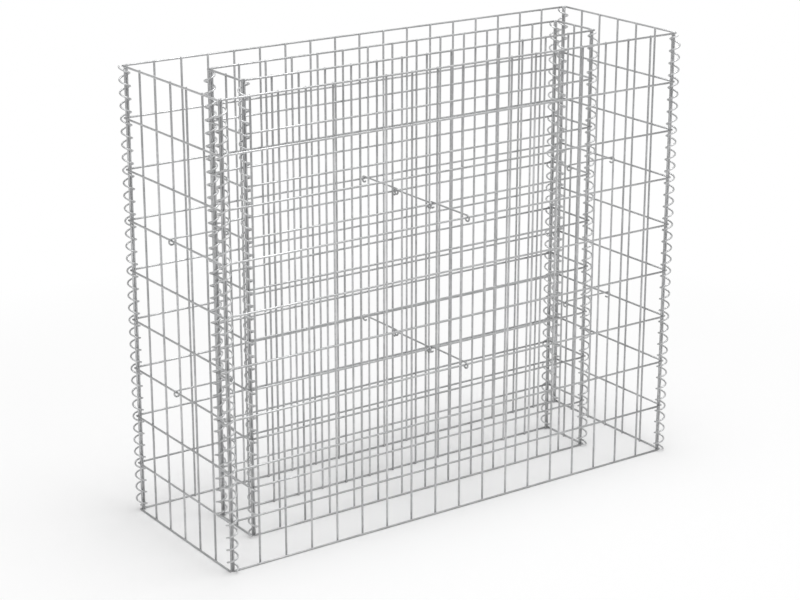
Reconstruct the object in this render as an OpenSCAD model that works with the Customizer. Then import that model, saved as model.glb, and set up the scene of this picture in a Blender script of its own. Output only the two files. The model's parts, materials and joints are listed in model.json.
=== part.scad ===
// Gabion raised bed: a narrow wire basket inside a wide one, both open at top and bottom.
// Millimetres, +Z up. Origin on the ground at the middle of the bed, +Y towards the back.

/* [Mesh] */
// Diameter of the welded mesh wire
wire_d = 3.5; // [2.5:0.1:5]
// Spacing of the upright wires
cell_w = 50; // [40:1:80]
// Spacing of the level wires
cell_h = 86; // [60:1:120]
// How far two crossing wires melt into each other at a weld
weld_sink = 0.6; // [0.3:0.1:1]

/* [Baskets] */
// Mesh cells along the outer basket
outer_cells_x = 18; // [12:1:24]
// Mesh cells across the outer basket
outer_cells_y = 6; // [5:1:10]
// Mesh cells along the inner basket
inner_cells_x = 14; // [6:1:16]
// Mesh cells across the inner basket
inner_cells_y = 2; // [1:1:6]
// Mesh cells up each panel
cells_up = 9; // [7:1:12]
// Gap between the edge wires of two panels that meet at a corner
corner_gap = 0.3; // [0.1:0.1:1]

/* [Spiral binders] */
// Wire diameter of the spirals
spiral_wire_d = 3; // [2:0.1:4]
// Diameter of the spirals over the wire
spiral_d = 20; // [19:0.5:26]
// Turns of a spiral in one mesh cell
turns_per_cell = 4; // [3:1:4]
// Gap between a spiral and the corner wire of the long panel inside it
spiral_seat_gap = 0.3; // [0.1:0.1:1]
// Least height of a spiral's ends above the ground and below the rim
spiral_end_gap = 0.4; // [0.2:0.1:2]

/* [Tie wires] */
// Wire diameter of the ties
tie_wire_d = 3; // [2:0.1:4]
// Bend radius of a hook, to the middle of the wire
hook_r = 5; // [4.5:0.1:8]
// Angle that a hook turns through
hook_sweep = 215; // [150:5:240]
// Straight end after a hook
hook_tail = 3; // [1:0.5:8]
// Height of a tie above the level wires that it rests on
tie_seat_gap = 0.3; // [0.1:0.1:0.8]
// Level wires that carry the ties, counted up from the lowest
tie_levels = [3, 6];
// Distance of a front or back tie from the middle upright
gap_tie_offset = 10; // [9:0.5:20]
// Distance of a centre tie from the middle upright
centre_tie_offset = 5; // [4:0.5:5.5]
// Distance of a left or right tie from the middle upright
side_tie_offset = 7; // [5:0.5:20]

/* [Hidden] */

galvanised = [0.68, 0.69, 0.70];
bright_wire = [0.60, 0.61, 0.62];

// Mesh wires are eight-sided prisms with a flat underneath, wire_d across flats.
wire_sides = 8;
flat_turn = 180 / wire_sides;
wire_over_corners = wire_d / cos(flat_turn);
weld_offset = wire_d - weld_sink;
panel_h = cells_up * cell_h + wire_d;

outer_half_x = outer_cells_x * cell_w / 2;
outer_half_y = outer_cells_y * cell_w / 2;
inner_half_x = inner_cells_x * cell_w / 2;
inner_half_y = inner_cells_y * cell_w / 2;
// The side panels stand outside the ends of the long panels, wire against wire.
side_step = wire_d + corner_gap;

spiral_r = (spiral_d - spiral_wire_d) / 2;
spiral_pitch = cell_h / turns_per_cell;
spiral_lead = atan(spiral_pitch / (2 * PI * spiral_r));
spiral_steps = 8;
step_angle = 360 / spiral_steps;
step_rise = spiral_pitch / spiral_steps;
spiral_bore_r = (spiral_r - spiral_wire_d / 2) * cos(step_angle / 2);
// A spiral's axis stands out this far from the corner wire, along both panels.
spiral_offset = (spiral_bore_r - wire_d / 2 - spiral_seat_gap) / sqrt(2);
// A spiral passes the level wires of both panels at these angles round its axis.
long_crossing = 180 - asin((weld_offset - spiral_offset) / spiral_r);
side_crossing = 360 - acos((side_step + weld_offset - spiral_offset) / spiral_r);
spiral_low = spiral_end_gap + spiral_wire_d / 2;
spiral_high = panel_h - spiral_low;
// The wire's section is a rectangle of the round wire's own area.
section_half_w = spiral_wire_d / 2;
section_half_h = PI * spiral_wire_d / 8;

tie_rise = (wire_d + tie_wire_d) / 2 + tie_seat_gap;
hook_steps = 8;

function level_z(level) = wire_d / 2 + level * cell_h;

// One upright mesh wire, its axis on Z.
module upright_wire() {
    rotate([0, 0, flat_turn])
        cylinder(h = panel_h, d = wire_over_corners, $fn = wire_sides);
}

// One level mesh wire along X, its ends flush with the outsides of the edge uprights.
module level_wire(length) {
    translate([-(length + wire_d) / 2, 0, 0])
        rotate([0, 90, 0])
            rotate([0, 0, flat_turn])
                cylinder(h = length + wire_d, d = wire_over_corners, $fn = wire_sides);
}

// A welded panel along X, centred, with its level wires on the +Y side of the uprights.
module mesh_panel(cells) {
    length = cells * cell_w;
    color(galvanised) {
        for (i = [0 : cells])
            translate([i * cell_w - length / 2, 0, 0])
                upright_wire();
        for (level = [0 : cells_up])
            translate([0, weld_offset, level_z(level)])
                level_wire(length);
    }
}

// side is 1 for the back or right panel, -1 for the front or left one.
module long_panel(cells, half_y, side) {
    rotate([0, 0, side > 0 ? 0 : 180])
        translate([0, half_y, 0])
            mesh_panel(cells);
}

module end_panel(cells, half_x, side) {
    rotate([0, 0, -90 * side])
        translate([0, half_x + side_step, 0])
            mesh_panel(cells);
}

// First step of a spiral that clears the ground, and the height of its zero angle.
function zero_z(hand) =
    wire_d / 2 + spiral_pitch / 2 - hand * spiral_pitch * (long_crossing + side_crossing) / 720;
function first_step(hand) = ceil((spiral_low - zero_z(hand)) / step_rise);
function last_step(hand) = floor((spiral_high - zero_z(hand)) / step_rise);

// Corner j of the wire's section at a step: out along the radius, and across the wire.
function section_corner(step, hand, j) =
    let (
        a = hand * step * step_angle,
        radial = [cos(a), sin(a), 0],
        along = [-hand * sin(a) * cos(spiral_lead), hand * cos(a) * cos(spiral_lead), sin(spiral_lead)],
        across = cross(along, radial),
        out = (j == 0 || j == 3) ? 1 : -1,
        up = (j < 2) ? 1 : -1
    )
    spiral_r * radial + [0, 0, zero_z(hand) + step * step_rise]
        + out * section_half_w * radial + up * section_half_h * across;

// A full-height spiral on Z. hand is 1 for a right-handed one, -1 for a left-handed one.
module spiral(hand) {
    first = first_step(hand);
    last = last_step(hand);
    count = last - first;
    points = [for (step = [first : last]) for (j = [0 : 3]) section_corner(step, hand, j)];
    walls = [
        for (i = [0 : count - 1]) for (j = [0 : 3])
            let (a = 4 * i + j, b = 4 * i + (j + 1) % 4)
            each hand > 0 ? [[a, a + 4, b], [b, a + 4, b + 4]] : [[a, a + 4, b + 4], [a, b + 4, b]]
    ];
    caps = [[0, 1, 2], [0, 2, 3], [4 * count + 2, 4 * count + 1, 4 * count],
            [4 * count + 3, 4 * count + 2, 4 * count]];
    color(bright_wire)
        polyhedron(points, concat(walls, caps), convexity = 10);
}

// A spiral at the corner that side_x and side_y choose. Mirroring it turns its hand over.
module corner_spiral(half_x, half_y, side_x, side_y, hand) {
    scale_hand = hand * side_x * side_y;
    mirror([side_x < 0 ? 1 : 0, 0, 0])
        mirror([0, side_y < 0 ? 1 : 0, 0])
            translate([half_x + spiral_offset, half_y + spiral_offset, 0])
                spiral(scale_hand);
}

// One side of a hook's wire in its bend plane: an arc of radius r, then the straight tail. It
// leaves the origin along +X and bends down and back under.
function hook_side(r) =
    let (last = 90 - hook_sweep)
    [
        for (i = [0 : hook_steps])
            let (a = 90 - i * hook_sweep / hook_steps)
            [r * cos(a), r * sin(a) - hook_r],
        [r * cos(last) + hook_tail * sin(last), r * sin(last) - hook_tail * cos(last) - hook_r]
    ];

function reversed(list) = [for (i = [len(list) - 1 : -1 : 0]) list[i]];

// A tie along Y that hooks over level wires at y = near and y = far. The bar's section is a
// rectangle of the round wire's own area.
module tie(level, near, far) {
    outside = hook_side(hook_r + tie_wire_d / 2);
    inside = hook_side(hook_r - tie_wire_d / 2);
    outline = concat(
        [for (p = outside) [far + p[0], p[1]]],
        [for (p = reversed(inside)) [far + p[0], p[1]]],
        [for (p = inside) [near - p[0], p[1]]],
        [for (p = reversed(outside)) [near - p[0], p[1]]]
    );
    color(bright_wire)
        translate([0, 0, level_z(level) + tie_rise])
            rotate([90, 0, 90])
                linear_extrude(PI * tie_wire_d / 4, center = true)
                    polygon(outline);
}

module gap_tie(level, side) {
    translate([gap_tie_offset, 0, 0])
        mirror([0, side < 0 ? 1 : 0, 0])
            tie(level, inner_half_y + weld_offset, outer_half_y + weld_offset);
}

module centre_tie(level) {
    translate([centre_tie_offset, 0, 0])
        tie(level, -(inner_half_y + weld_offset), inner_half_y + weld_offset);
}

module side_tie(level, side) {
    translate([0, side_tie_offset, 0])
        rotate([0, 0, -90])
            mirror([0, side < 0 ? 1 : 0, 0])
                tie(level, inner_half_x + side_step + weld_offset, outer_half_x + side_step + weld_offset);
}

module outer_front_panel() { long_panel(outer_cells_x, outer_half_y, -1); }
module outer_back_panel() { long_panel(outer_cells_x, outer_half_y, 1); }
module outer_left_panel() { end_panel(outer_cells_y, outer_half_x, -1); }
module outer_right_panel() { end_panel(outer_cells_y, outer_half_x, 1); }
module inner_front_panel() { long_panel(inner_cells_x, inner_half_y, -1); }
module inner_back_panel() { long_panel(inner_cells_x, inner_half_y, 1); }
module inner_left_panel() { end_panel(inner_cells_y, inner_half_x, -1); }
module inner_right_panel() { end_panel(inner_cells_y, inner_half_x, 1); }

module outer_spiral(side_x, side_y, hand) { corner_spiral(outer_half_x, outer_half_y, side_x, side_y, hand); }
module inner_spiral(side_x, side_y, hand) { corner_spiral(inner_half_x, inner_half_y, side_x, side_y, hand); }
module outer_front_left_spiral() { outer_spiral(-1, -1, 1); }
module outer_front_right_spiral() { outer_spiral(1, -1, 1); }
module outer_back_left_spiral() { outer_spiral(-1, 1, -1); }
module outer_back_right_spiral() { outer_spiral(1, 1, -1); }
module inner_front_left_spiral() { inner_spiral(-1, -1, -1); }
module inner_front_right_spiral() { inner_spiral(1, -1, 1); }
module inner_back_left_spiral() { inner_spiral(-1, 1, 1); }
module inner_back_right_spiral() { inner_spiral(1, 1, -1); }

outer_front_panel();
outer_back_panel();
outer_left_panel();
outer_right_panel();
inner_front_panel();
inner_back_panel();
inner_left_panel();
inner_right_panel();
outer_front_left_spiral();
outer_front_right_spiral();
outer_back_left_spiral();
outer_back_right_spiral();
inner_front_left_spiral();
inner_front_right_spiral();
inner_back_left_spiral();
inner_back_right_spiral();
gap_tie(tie_levels[0], -1);  // lower_front_tie
centre_tie(tie_levels[0]);  // lower_centre_tie
gap_tie(tie_levels[0], 1);  // lower_back_tie
side_tie(tie_levels[0], -1);  // lower_left_tie
side_tie(tie_levels[0], 1);  // lower_right_tie
gap_tie(tie_levels[1], -1);  // upper_front_tie
centre_tie(tie_levels[1]);  // upper_centre_tie
gap_tie(tie_levels[1], 1);  // upper_back_tie
side_tie(tie_levels[1], -1);  // upper_left_tie
side_tie(tie_levels[1], 1);  // upper_right_tie
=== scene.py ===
"""Gabion raised bed: two nested baskets of welded wire mesh, laced at the corners by wire spirals.

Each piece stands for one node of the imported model. A wire is a surface of two parameters, the
station along it and the angle round it: the point is the path's point at that station plus the
radius times a unit vector square to the path, turned by the angle. All the rings of a piece are
worked out as whole arrays. Lengths are in metres.
"""
import bpy
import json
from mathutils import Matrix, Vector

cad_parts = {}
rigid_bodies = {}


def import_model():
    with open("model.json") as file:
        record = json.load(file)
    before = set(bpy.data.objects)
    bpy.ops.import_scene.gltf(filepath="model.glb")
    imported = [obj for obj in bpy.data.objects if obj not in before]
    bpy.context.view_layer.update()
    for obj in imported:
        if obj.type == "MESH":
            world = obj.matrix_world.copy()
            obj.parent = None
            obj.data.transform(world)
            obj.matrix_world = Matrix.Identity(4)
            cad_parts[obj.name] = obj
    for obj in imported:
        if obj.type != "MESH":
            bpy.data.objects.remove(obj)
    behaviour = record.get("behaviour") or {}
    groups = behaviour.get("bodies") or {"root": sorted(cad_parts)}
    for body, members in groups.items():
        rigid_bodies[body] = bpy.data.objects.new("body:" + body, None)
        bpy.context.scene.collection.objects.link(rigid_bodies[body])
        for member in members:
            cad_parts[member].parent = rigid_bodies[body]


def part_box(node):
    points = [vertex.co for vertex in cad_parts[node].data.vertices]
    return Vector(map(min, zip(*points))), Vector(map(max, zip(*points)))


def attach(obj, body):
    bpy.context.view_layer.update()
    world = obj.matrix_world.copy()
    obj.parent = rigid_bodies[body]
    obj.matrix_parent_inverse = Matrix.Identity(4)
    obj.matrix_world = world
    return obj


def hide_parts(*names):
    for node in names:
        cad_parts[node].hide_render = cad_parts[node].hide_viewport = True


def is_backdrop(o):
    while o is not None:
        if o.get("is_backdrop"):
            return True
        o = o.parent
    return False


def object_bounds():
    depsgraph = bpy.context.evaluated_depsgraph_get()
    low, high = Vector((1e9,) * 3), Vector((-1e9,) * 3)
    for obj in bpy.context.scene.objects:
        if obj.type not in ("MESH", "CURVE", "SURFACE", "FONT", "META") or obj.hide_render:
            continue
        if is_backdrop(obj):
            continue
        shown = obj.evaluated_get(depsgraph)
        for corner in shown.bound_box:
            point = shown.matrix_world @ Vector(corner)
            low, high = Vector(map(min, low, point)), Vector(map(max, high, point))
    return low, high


for spare in list(bpy.data.objects):
    bpy.data.objects.remove(spare)
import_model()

import json
import logging
import math
from dataclasses import dataclass, field
from enum import Enum
from typing import Any, Iterator

import numpy as np
from mathutils import Euler, Vector

CAD_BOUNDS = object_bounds()
MM = 0.001
TURN = 2 * math.pi
TONE_SEED = 7
LOG = logging.getLogger("gabion_bed")

Triple = tuple[float, float, float]
WHITE: Triple = (1.0, 1.0, 1.0)


# ---------------------------------------------------------------- shader graphs


@dataclass(frozen=True)
class Socket:
    """A number or colour that flows through a material, with arithmetic that adds Math nodes."""

    graph: "Graph"
    link: Any

    def _math(self, operation: str, first: Any, second: Any) -> "Socket":
        """Add one Math node for first operation second."""
        return self.graph.add("ShaderNodeMath", {"operation": operation}, {0: first, 1: second})

    def __add__(self, other: Any) -> "Socket":
        """Return self + other."""
        return self._math("ADD", self, other)

    def __mul__(self, other: Any) -> "Socket":
        """Return self * other."""
        return self._math("MULTIPLY", self, other)

    __radd__ = __add__
    __rmul__ = __mul__


class Graph:
    """The node tree of one material or world, built by a single node-making method."""

    def __init__(self, owner: Any) -> None:
        """Start an empty tree.

        Args:
            owner: The material or world that holds the tree.
        """
        owner.use_nodes = True
        self.tree = owner.node_tree
        self.tree.nodes.clear()

    def add(
        self, kind: str, settings: dict[str, Any], inputs: dict[Any, Any], output: Any = 0
    ) -> Socket:
        """Add a node, set it up and feed it.

        Args:
            kind: The node's type name.
            settings: Properties of the node, set first.
            inputs: Value or Socket for each input, by name or number.
            output: Name or number of the output that is wanted.

        Returns:
            The node's chosen output.
        """
        node = self.tree.nodes.new(kind)
        for name, value in settings.items():
            setattr(node, name, value)
        for key, value in inputs.items():
            if isinstance(value, Socket):
                self.tree.links.new(value.link, node.inputs[key])
            else:
                node.inputs[key].default_value = value
        return Socket(self, node.outputs[output] if len(node.outputs) else None)

    def ramp(self, value: Socket, low: float, high: float) -> Socket:
        """Add a ramp: 0 below low, 1 above high and a straight rise between them.

        Args:
            value: What the ramp follows.
            low: Value at which it leaves 0.
            high: Value at which it reaches 1.

        Returns:
            The ramp's number.
        """
        # The inputs go by number: value, then its low and high, then what they become.
        limits = {0: value, 1: low, 2: high, 3: 0.0, 4: 1.0}
        return self.add("ShaderNodeMapRange", {"clamp": True}, limits)

    def seen(self) -> Socket:
        """Mark what the camera sees, straight or by reflection or through glass.

        Returns:
            The sum of the three kinds of ray, held at 1.
        """
        rays = [
            self.add("ShaderNodeLightPath", {}, {}, f"Is {kind} Ray")
            for kind in ("Camera", "Glossy", "Transmission")
        ]
        return self.ramp(rays[0] + rays[1] + rays[2], 0.0, 1.0)

    def mix_colour(self, share: Socket, first: Any, second: Any) -> Socket:
        """Mix two colours.

        Args:
            share: How much of the second there is, from 0 to 1.
            first: Colour at share 0.
            second: Colour at share 1.

        Returns:
            The mixed colour.
        """
        # The colour sockets go by number, because the node has others of the same names.
        settings = {"data_type": "RGBA", "blend_type": "MIX"}
        return self.add("ShaderNodeMix", settings, {0: share, 6: first, 7: second}, 2)


def rgba(colour: Triple) -> tuple[float, float, float, float]:
    """Return the colour with full opacity."""
    return (*colour, 1.0)


@dataclass(frozen=True)
class ZincFinish:
    """Hot-dip zinc on steel wire: bright metal with duller, paler patches and a faint spangle."""

    slot: str
    bright: Triple
    dull: Triple
    metallic: float = 0.75
    roughness_bright: float = 0.34
    roughness_dull: float = 0.55
    patch_size: float = 0.055
    spangle_size: float = 0.0045
    grain_size: float = 0.0006
    bump_depth: float = 0.00006
    patch_detail: float = 3.0
    grain_detail: float = 2.0
    patch_dulling: float = 0.9
    spangle_dulling: float = 0.25
    wire_dulling: float = 0.35
    weld_dulling: float = 0.3
    dulling_range: tuple[float, float] = (0.45, 1.05)
    patch_height: float = 1.5
    spangle_height: float = 0.4
    grain_height: float = 0.6

    def build(self) -> bpy.types.Material:
        """Make the material.

        Dullness is a weighted sum of patches, spangle, the wire's own tone and the weld mark,
        spread over dulling_range. It leads from the bright colour and roughness to the dull ones.
        The surface's height is a weighted sum of grain, spangle and patches.

        Returns:
            The material, named after its slot.
        """
        material = bpy.data.materials.new(self.slot)
        graph = Graph(material)
        place = graph.add("ShaderNodeTexCoord", {}, {}, "Object")
        cloud = {"Vector": place, "Scale": 1 / self.patch_size, "Detail": self.patch_detail}
        patches = graph.add("ShaderNodeTexNoise", {}, cloud)
        cells = {"Vector": place, "Scale": 1 / self.spangle_size}
        spangle = graph.add("ShaderNodeTexVoronoi", {"feature": "F1"}, cells, "Color")
        spangle_grey = graph.add("ShaderNodeRGBToBW", {}, {0: spangle})
        specks = {"Vector": place, "Scale": 1 / self.grain_size, "Detail": self.grain_detail}
        grain = graph.add("ShaderNodeTexNoise", {}, specks)
        wire = graph.add("ShaderNodeAttribute", {"attribute_name": "wire_tone"}, {}, "Fac")
        weld = graph.add("ShaderNodeAttribute", {"attribute_name": "weld"}, {}, "Fac")
        dulling = self.patch_dulling * patches + self.spangle_dulling * spangle_grey
        dulling = dulling + self.wire_dulling * wire + self.weld_dulling * weld
        dullness = graph.ramp(dulling, *self.dulling_range)
        colour = graph.mix_colour(dullness, rgba(self.bright), rgba(self.dull))
        rise = self.roughness_dull - self.roughness_bright
        roughness = self.roughness_bright + rise * dullness
        height = self.grain_height * grain + self.spangle_height * spangle_grey
        height = height + self.patch_height * patches
        relief = {"Strength": 1.0, "Distance": self.bump_depth, "Height": height}
        inputs = {
            "Base Color": colour,
            "Roughness": roughness,
            "Metallic": self.metallic,
            "Normal": graph.add("ShaderNodeBump", {}, relief),
        }
        surface = graph.add("ShaderNodeBsdfPrincipled", {}, inputs)
        graph.add("ShaderNodeOutputMaterial", {}, {"Surface": surface})
        return material


# ---------------------------------------------------------------- surfaces


def unit(vectors: np.ndarray) -> np.ndarray:
    """Return the vectors scaled to length 1."""
    return vectors / np.linalg.norm(vectors, axis=-1, keepdims=True)


def sweep(centres: np.ndarray, normals: np.ndarray, radii: np.ndarray, sides: int) -> np.ndarray:
    """Carry a round section along paths.

    A point is centre + radius * (cos a * normal + sin a * binormal), where the binormal is the
    path's direction crossed with the normal.

    Args:
        centres: Path points, as (wires, stations, 3).
        normals: Unit vectors square to the path, of a shape that spreads to that of centres.
        radii: Radius at each station.
        sides: Points round the section.

    Returns:
        Rings as (wires, stations, sides, 3).
    """
    along = unit(np.gradient(centres, axis=1))
    normals = np.broadcast_to(normals, centres.shape)
    binormals = np.cross(along, normals)
    angle = (TURN * np.arange(sides) / sides)[:, None]
    section = np.cos(angle) * normals[:, :, None] + np.sin(angle) * binormals[:, :, None]
    return centres[:, :, None] + radii[:, None, None] * section


@dataclass
class WireMesh:
    """Closed tubes gathered into one mesh, with a tone for each and a mark for weld metal."""

    points: list[np.ndarray] = field(default_factory=list)
    quads: list[np.ndarray] = field(default_factory=list)
    caps: list[np.ndarray] = field(default_factory=list)
    tones: list[np.ndarray] = field(default_factory=list)
    welds: list[np.ndarray] = field(default_factory=list)
    count: int = 0

    def add(
        self,
        centres: np.ndarray,
        normals: np.ndarray,
        radii: np.ndarray,
        sides: int,
        weld: float = 0.0,
    ) -> None:
        """Sweep tubes along paths and close both ends of each.

        Args:
            centres: Path points, as (tubes, stations, 3).
            normals: Unit vectors square to the paths.
            radii: Radius at each station.
            sides: Points round each ring.
            weld: 1 for weld metal, 0 for drawn wire.
        """
        rings = sweep(centres, normals, radii, sides)
        tubes, stations = rings.shape[:2]
        stride = stations * sides + 2
        poles = centres[:, [0, -1]]
        start = self.count + stride * np.arange(tubes)[:, None, None]
        ring = sides * np.arange(stations - 1)[None, :, None]
        side = np.arange(sides)[None, None, :]
        turn = (side + 1) % sides
        corners = (ring + side, ring + turn, ring + sides + turn, ring + sides + side)
        self.quads.append(np.stack([start + c for c in corners], axis=-1).reshape(-1, 4))
        last = sides * (stations - 1)
        pole = np.full_like(side, stations * sides)
        for cap in ((pole, turn, side), (pole + 1, last + side, last + turn)):
            self.caps.append(np.stack([start + c for c in cap], axis=-1).reshape(-1, 3))
        points = np.concatenate([rings.reshape(tubes, -1, 3), poles], axis=1)
        self.points.append(points.reshape(-1, 3))
        tone = np.random.default_rng(self.count + TONE_SEED).uniform(size=tubes)
        self.tones.append(np.repeat(tone, stride))
        self.welds.append(np.full(tubes * stride, weld))
        self.count += tubes * stride

    def build(self, name: str, material: bpy.types.Material) -> bpy.types.Object:
        """Make the Blender object.

        Args:
            name: Name of the piece.
            material: Its finish.

        Returns:
            The object, at the origin. Walls are smooth and cut ends are flat.
        """
        quads, caps = np.concatenate(self.quads), np.concatenate(self.caps)
        mesh = bpy.data.meshes.new(name)
        mesh.from_pydata(np.concatenate(self.points).tolist(), [], quads.tolist() + caps.tolist())
        smooth = np.arange(len(quads) + len(caps)) < len(quads)
        mesh.polygons.foreach_set("use_smooth", smooth)
        for label, values in (("wire_tone", self.tones), ("weld", self.welds)):
            layer = mesh.attributes.new(label, "FLOAT", "POINT")
            layer.data.foreach_set("value", np.concatenate(values).astype(np.float32))
        mesh.materials.append(material)
        mesh.update()
        piece = bpy.data.objects.new(name, mesh)
        bpy.context.scene.collection.objects.link(piece)
        return piece


# ---------------------------------------------------------------- the bed's parts


class Axis(Enum):
    """The level direction a panel or tie runs along."""

    X = 0
    Y = 1

    @property
    def across(self) -> int:
        """Number of the other level axis."""
        return 1 - self.value


class Hand(Enum):
    """The way a spiral climbs: right-handed ones climb anticlockwise seen from above."""

    RIGHT = 1
    LEFT = -1


@dataclass(frozen=True)
class Box:
    """A CAD node's lowest and highest corners."""

    low: np.ndarray
    high: np.ndarray

    @classmethod
    def of(cls, node: str) -> "Box":
        """Return the box of the node."""
        low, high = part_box(node)
        return cls(np.array(low), np.array(high))

    @property
    def middle(self) -> np.ndarray:
        """Centre of the box."""
        return (self.low + self.high) / 2


@dataclass(frozen=True)
class MeshSizes:
    """Sizes that all the welded panels share."""

    wire_r: float = 1.75 * MM
    cell_w: float = 50 * MM
    cell_h: float = 86 * MM
    turns_per_cell: int = 4
    end_bevel: float = 0.35 * MM
    bead_r: float = 1.72 * MM
    bead_half: float = 1.0 * MM
    bead_least: float = 0.02

    @property
    def pitch(self) -> float:
        """Rise of a spiral in one turn."""
        return self.cell_h / self.turns_per_cell


@dataclass(frozen=True)
class Panel:
    """A welded panel: level wires welded to the outside of upright wires."""

    basket: str
    place: str
    axis: Axis
    outward: int
    sizes: MeshSizes = MeshSizes()
    sides: int = 12
    rings: int = 8
    bead_rings: int = 7
    bead_sides: int = 10

    @property
    def node(self) -> str:
        """Name of the CAD node."""
        return f"{self.basket}_{self.place}_panel"

    @property
    def box(self) -> Box:
        """The CAD node's box."""
        return Box.of(self.node)

    def depth(self, outward: int) -> float:
        """Find where wires lie across the panel: one radius inside a face of its box.

        Args:
            outward: 1 for the face on the positive side, -1 for the other.

        Returns:
            The place along the axis across the panel.
        """
        across = self.axis.across
        low, high = self.box.low[across], self.box.high[across]
        return high - self.sizes.wire_r if outward > 0 else low + self.sizes.wire_r

    def grid(self, axis: int, spacing: float) -> np.ndarray:
        """Find the places of evenly spaced wires, the first one radius inside the box.

        Args:
            axis: Axis that the wires are spaced along.
            spacing: Distance between neighbours.

        Returns:
            The places, lowest first.
        """
        low = self.box.low[axis] + self.sizes.wire_r
        length = self.box.high[axis] - self.sizes.wire_r - low
        return low + np.arange(round(length / spacing) + 1) * spacing

    def runs(self, places: np.ndarray, place_axis: int, run_axis: int, depth: float) -> np.ndarray:
        """Find the centre lines of straight wires from one side of the box to the other.

        A point has its wire's place on one axis, its station along the box on the second, and the
        same depth on the third.

        Args:
            places: Where the wires lie along place_axis.
            place_axis: Axis that the wires are spaced along.
            run_axis: Axis that they run along.
            depth: Where they lie across the panel.

        Returns:
            The lines' points, as (wires, rings, 3).
        """
        box, bevel = self.box, self.sizes.end_bevel
        low, high = box.low[run_axis], box.high[run_axis]
        between = np.linspace(low + bevel, high - bevel, self.rings - 2)
        stations = np.concatenate([[low], between, [high]])
        path = np.empty((len(places), len(stations), 3))
        path[..., place_axis] = places[:, None]
        path[..., run_axis] = stations
        path[..., self.axis.across] = depth
        return path

    def build(self, material: bpy.types.Material) -> bpy.types.Object:
        """Make the panel's wires and weld beads.

        A bead is a flattened ball between the two wires: at height h from its middle, as a share of
        its half thickness, its radius is the full radius times the root of 1 - h squared, or of
        bead_least where that is more.

        Args:
            material: The mesh wire's finish.

        Returns:
            The panel as one object.
        """
        run, across, sizes, mesh = self.axis.value, self.axis.across, self.sizes, WireMesh()
        normal = np.eye(3)[across]
        radii = np.full(self.rings, sizes.wire_r)
        radii[[0, -1]] -= sizes.end_bevel
        uprights, levels = self.grid(run, sizes.cell_w), self.grid(2, sizes.cell_h)
        inner, outer = self.depth(-self.outward), self.depth(self.outward)
        mesh.add(self.runs(uprights, run, 2, inner), normal, radii, self.sides)
        mesh.add(self.runs(levels, 2, run, outer), normal, radii, self.sides)
        height = np.linspace(-1.0, 1.0, self.bead_rings)
        beads = np.empty((len(uprights), len(levels), len(height), 3))
        beads[..., run] = uprights[:, None, None]
        beads[..., 2] = levels[:, None]
        beads[..., across] = (inner + outer) / 2 + height * sizes.bead_half
        width = sizes.bead_r * np.sqrt(np.clip(1.0 - height**2, sizes.bead_least, 1.0))
        beads = beads.reshape(-1, self.bead_rings, 3)
        mesh.add(beads, np.eye(3)[2], width, self.bead_sides, weld=1.0)
        return mesh.build(f"{self.node}_wires", material)


@dataclass(frozen=True)
class Spiral:
    """A full-height wire spiral that laces two panels' edge uprights together."""

    basket: str
    side_y: int
    side_x: int
    hand: Hand
    sizes: MeshSizes = MeshSizes()
    wire_r: float = 1.5 * MM
    steps_per_turn: int = 32
    sides: int = 12

    @property
    def node(self) -> str:
        """Name of the CAD node."""
        return f"{self.basket}_{self.long_place}_{self.end_place}_spiral"

    @property
    def long_place(self) -> str:
        """Place of the long panel at this corner."""
        return "back" if self.side_y > 0 else "front"

    @property
    def end_place(self) -> str:
        """Place of the end panel at this corner."""
        return "right" if self.side_x > 0 else "left"

    def middle_angle(self, radius: float) -> float:
        """Return the angle at which the turn is half a pitch above a level wire.

        It is halfway between the angles at which the spiral passes over the level wires of the
        two panels, so that every turn clears both.

        Args:
            radius: Radius of the spiral's centre line.

        Returns:
            The angle, from outward along x towards outward along y.
        """
        axis = Box.of(self.node).middle
        long_panel = Panel(self.basket, self.long_place, Axis.X, self.side_y)
        end_panel = Panel(self.basket, self.end_place, Axis.Y, self.side_x)
        to_long = self.side_y * (long_panel.depth(self.side_y) - axis[1])
        to_end = self.side_x * (end_panel.depth(self.side_x) - axis[0])
        long_crossing = math.pi - math.asin(to_long / radius)
        end_crossing = TURN - math.acos(to_end / radius)
        return (long_crossing + end_crossing) / 2

    def build(self, material: bpy.types.Material) -> bpy.types.Object:
        """Make the spiral: radius * (cos a, sin a) about its axis, rising one pitch a turn.

        Args:
            material: The spiral wire's finish.

        Returns:
            The spiral as one object.
        """
        box, pitch = Box.of(self.node), self.sizes.pitch
        radius = (box.high[0] - box.low[0]) / 2 - self.wire_r
        # The corner is built as the back right one and mirrored, which turns the hand round.
        hand = self.hand.value * self.side_x * self.side_y
        low, high = box.low[2] + self.wire_r, box.high[2] - self.wire_r
        count = round((high - low) / pitch * self.steps_per_turn)
        bevel = pitch / TURN / radius * self.sizes.end_bevel
        z = np.concatenate([[low], np.linspace(low + bevel, high - bevel, count), [high]])
        # The lowest level wires lie one wire radius above the ground.
        z_middle = self.sizes.wire_r + pitch / 2
        angle = self.middle_angle(radius) + hand * TURN * (z - z_middle) / pitch
        flip = np.array([self.side_x, self.side_y, 1.0])
        radial = np.stack([np.cos(angle), np.sin(angle), np.zeros_like(z)], axis=-1) * flip
        centres = box.middle * [1, 1, 0] + radius * radial + z[:, None] * [0, 0, 1]
        radii = np.full(len(z), self.wire_r)
        radii[[0, -1]] -= self.sizes.end_bevel
        mesh = WireMesh()
        mesh.add(centres[None], radial[None], radii, self.sides)
        return mesh.build(f"{self.node}_wire", material)


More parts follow.
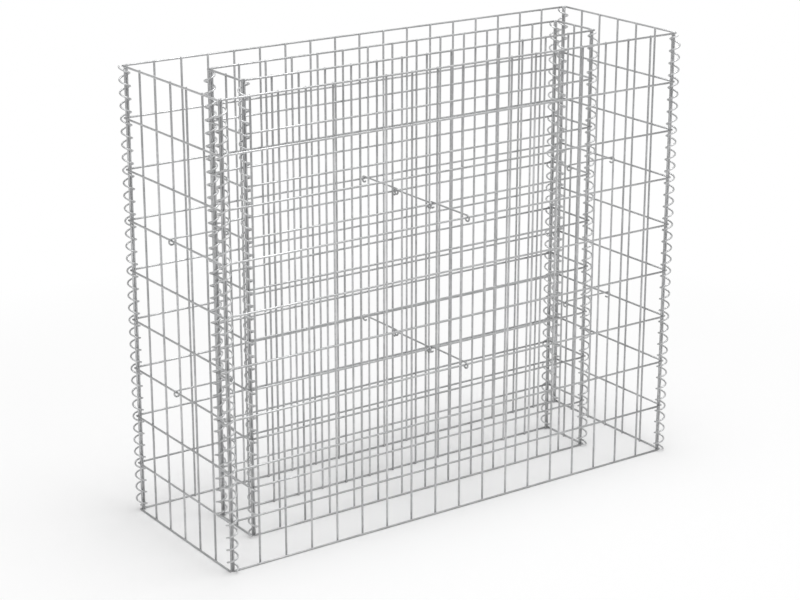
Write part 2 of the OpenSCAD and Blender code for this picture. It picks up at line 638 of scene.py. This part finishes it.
@dataclass(frozen=True)
class Tie:
    """A straight wire with a hook at each end, over two level wires."""

    level: str
    place: str
    axis: Axis
    wire_r: float = 1.5 * MM
    hook_r: float = 5 * MM
    sweep_angle: float = math.radians(215)
    tail: float = 3 * MM
    end_bevel: float = 0.3 * MM
    arc_steps: int = 28
    bar_stations: int = 12
    sides: int = 16

    @property
    def node(self) -> str:
        """Name of the CAD node."""
        return f"{self.level}_{self.place}_tie"

    def hook(self) -> np.ndarray:
        """Find one hook's centre line.

        It is an arc, hook_r * (cos a, sin a - 1), with a falling from a quarter turn by
        sweep_angle, and then a straight tail in the direction the arc ends in.

        Returns:
            Points as (along, up) from where the hook leaves the straight bar.
        """
        angle = math.pi / 2 - np.linspace(0.0, self.sweep_angle, self.arc_steps)
        arc = self.hook_r * np.stack([np.cos(angle), np.sin(angle) - 1.0], axis=-1)
        onward = np.array([math.sin(angle[-1]), -math.cos(angle[-1])])
        reach = np.array([self.tail - self.end_bevel, self.tail])
        return np.concatenate([arc, arc[-1] + reach[:, None] * onward])

    def build(self, material: bpy.types.Material) -> bpy.types.Object:
        """Make the tie: a bar from hook to hook, bent in one upright plane.

        Args:
            material: The tie wire's finish.

        Returns:
            The tie as one object.
        """
        box, run = Box.of(self.node), self.axis.value
        hook = self.hook()
        over = box.high[run] - self.hook_r - self.wire_r
        far = hook + [over, box.high[2] - self.wire_r]
        near = hook * [-1, 1] + [2 * box.middle[run] - over, box.high[2] - self.wire_r]
        bar = np.linspace(near[0], far[0], self.bar_stations)[1:-1]
        path = np.concatenate([near[::-1], bar, far])
        centres = np.tile(box.middle, (len(path), 1))
        centres[:, [run, 2]] = path
        radii = np.full(len(path), self.wire_r)
        radii[[0, -1]] -= self.end_bevel
        mesh = WireMesh()
        mesh.add(centres[None], np.eye(3)[self.axis.across], radii, self.sides)
        return mesh.build(f"{self.node}_wire", material)


@dataclass(frozen=True)
class Basket:
    """Four welded panels and the four spirals at their corners."""

    name: str
    hands: tuple[Hand, Hand, Hand, Hand]

    def panels(self) -> Iterator[Panel]:
        """Go through the panels.

        Yields:
            The front, back, left and right panels.
        """
        yield Panel(self.name, "front", Axis.X, -1)
        yield Panel(self.name, "back", Axis.X, 1)
        yield Panel(self.name, "left", Axis.Y, -1)
        yield Panel(self.name, "right", Axis.Y, 1)

    def spirals(self) -> Iterator[Spiral]:
        """Go through the spirals.

        Yields:
            The front left, front right, back left and back right spirals.
        """
        corners = [(-1, -1), (-1, 1), (1, -1), (1, 1)]
        for (side_y, side_x), hand in zip(corners, self.hands):
            yield Spiral(self.name, side_y, side_x, hand)


@dataclass(frozen=True)
class GabionBed:
    """The whole bed: an outer and an inner basket and the ties between their walls."""

    baskets: tuple[Basket, ...] = (
        Basket("outer", (Hand.RIGHT, Hand.RIGHT, Hand.LEFT, Hand.LEFT)),
        Basket("inner", (Hand.LEFT, Hand.RIGHT, Hand.RIGHT, Hand.LEFT)),
    )

    def parts(self) -> Iterator[tuple[Any, str]]:
        """Go through all the parts of the bed.

        Yields:
            Each part with its material slot.
        """
        for basket in self.baskets:
            for panel in basket.panels():
                yield panel, "mesh_wire"
            for spiral in basket.spirals():
                yield spiral, "spiral_wire"
        for level in ("lower", "upper"):
            for place in ("front", "centre", "back"):
                yield Tie(level, place, Axis.Y), "tie_wire"
            for place in ("left", "right"):
                yield Tie(level, place, Axis.X), "tie_wire"

    def build(self) -> Iterator[bpy.types.Object]:
        """Make every part, in place of its CAD node.

        Yields:
            Each finished piece.
        """
        materials = {finish.slot: finish.build() for finish in FINISHES}
        for part, slot in self.parts():
            piece = part.build(materials[slot])
            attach(piece, "root")
            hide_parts(part.node)
            yield piece


FINISHES = (
    ZincFinish("mesh_wire", bright=(0.72, 0.725, 0.73), dull=(0.50, 0.505, 0.51)),
    ZincFinish(
        "spiral_wire", bright=(0.80, 0.805, 0.81), dull=(0.62, 0.625, 0.63), roughness_bright=0.30
    ),
    ZincFinish(
        "tie_wire", bright=(0.68, 0.685, 0.69), dull=(0.52, 0.525, 0.53), roughness_bright=0.32
    ),
)


# ---------------------------------------------------------------- studio


@dataclass(frozen=True)
class Lamp:
    """A soft square lamp aimed at the bed."""

    name: str
    place: Triple
    size: float
    watts: float


@dataclass(frozen=True)
class Studio:
    """Floor, daylight world, lamps and camera."""

    floor_colour: Triple = (0.95, 0.95, 0.95)
    floor_bounce: float = 0.35
    floor_half: float = 60.0
    floor_fade: tuple[float, float] = (0.1, 1.4)
    sky_high: float = 0.62
    sky_low: float = 0.22
    sky_span: tuple[float, float] = (-0.1, 0.9)
    lamps: tuple[Lamp, ...] = (
        Lamp("top_lamp", (0.2, -0.3, 3.6), 1.8, 73.0),
        Lamp("near_lamp", (-3.2, -2.6, 2.4), 1.8, 9.0),
    )
    camera_place: Triple = (-2.0167, -2.8687, 1.4879)
    camera_yaw: float = math.radians(-34.85)
    camera_pitch: float = math.radians(-18.2)
    lens: float = 95.96
    sensor_width: float = 36.0
    target: Triple = (0.0, 0.0, 0.39)

    def build(self) -> None:
        """Make everything round the bed."""
        self._floor()
        self._world()
        for lamp in self.lamps:
            self._lamp(lamp)
        self._camera()
        bpy.context.scene.view_settings.view_transform = "Standard"

    def _floor(self) -> None:
        """Make a pale floor under the bed, which fades to white away from it."""
        half, low = self.floor_half, CAD_BOUNDS[0][2]
        mesh = bpy.data.meshes.new("floor")
        corners = [(-half, -half, low), (half, -half, low), (half, half, low), (-half, half, low)]
        mesh.from_pydata(corners, [], [(0, 1, 2, 3)])
        material = bpy.data.materials.new("floor")
        graph = Graph(material)
        place = graph.add("ShaderNodeTexCoord", {}, {}, "Object")
        seen = graph.seen()
        dim = rgba(tuple(c * self.floor_bounce for c in self.floor_colour))
        colour = graph.mix_colour(seen, dim, rgba(self.floor_colour))
        matt = graph.add("ShaderNodeBsdfDiffuse", {}, {"Color": colour})
        white = graph.add("ShaderNodeEmission", {}, {"Color": rgba(WHITE), "Strength": 1.0})
        distance = graph.add("ShaderNodeVectorMath", {"operation": "LENGTH"}, {0: place}, "Value")
        share = graph.ramp(distance, *self.floor_fade) * seen
        surface = graph.add("ShaderNodeMixShader", {}, {0: share, 1: matt, 2: white})
        graph.add("ShaderNodeOutputMaterial", {}, {"Surface": surface})
        mesh.materials.append(material)
        floor = bpy.data.objects.new("floor", mesh)
        bpy.context.scene.collection.objects.link(floor)
        floor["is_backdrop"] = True

    def _world(self) -> None:
        """Make a plain grey sky that is brighter overhead."""
        world = bpy.data.worlds.new("studio")
        bpy.context.scene.world = world
        graph = Graph(world)
        direction = graph.add("ShaderNodeTexCoord", {}, {}, "Generated")
        up = graph.add("ShaderNodeSeparateXYZ", {}, {0: direction}, "Z")
        sky = self.sky_low + (self.sky_high - self.sky_low) * graph.ramp(up, *self.sky_span)
        light = graph.add("ShaderNodeBackground", {}, {"Color": rgba(WHITE), "Strength": sky})
        graph.add("ShaderNodeOutputWorld", {}, {"Surface": light})

    def _lamp(self, lamp: Lamp) -> None:
        """Make one lamp, turned to the middle of the bed.

        Args:
            lamp: Its name, place, size and power.
        """
        light = bpy.data.lights.new(lamp.name, "AREA")
        light.energy, light.size = lamp.watts, lamp.size
        item = bpy.data.objects.new(lamp.name, light)
        item.location = lamp.place
        away = Vector(lamp.place) - Vector(self.target)
        item.rotation_mode = "QUATERNION"
        item.rotation_quaternion = away.to_track_quat("Z", "Y")
        bpy.context.scene.collection.objects.link(item)

    def _camera(self) -> None:
        """Make the camera."""
        data = bpy.data.cameras.new("camera")
        data.lens, data.sensor_width = self.lens, self.sensor_width
        item = bpy.data.objects.new("camera", data)
        item.location = self.camera_place
        item.rotation_euler = Euler((math.pi / 2 + self.camera_pitch, 0.0, self.camera_yaw))
        bpy.context.scene.collection.objects.link(item)
        bpy.context.scene.camera = item


def main() -> None:
    """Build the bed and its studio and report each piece."""
    logging.basicConfig(level=logging.INFO)
    for piece in GabionBed().build():
        LOG.info("%s: %d faces", piece.name, len(piece.data.polygons))
    Studio().build()
    boxes = {"cad": CAD_BOUNDS, "visual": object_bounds()}
    {name: [list(corner) for corner in box] for name, box in boxes.items()}
    LOG.info("bounds %s", boxes)


if __name__ == "__main__":
    main()
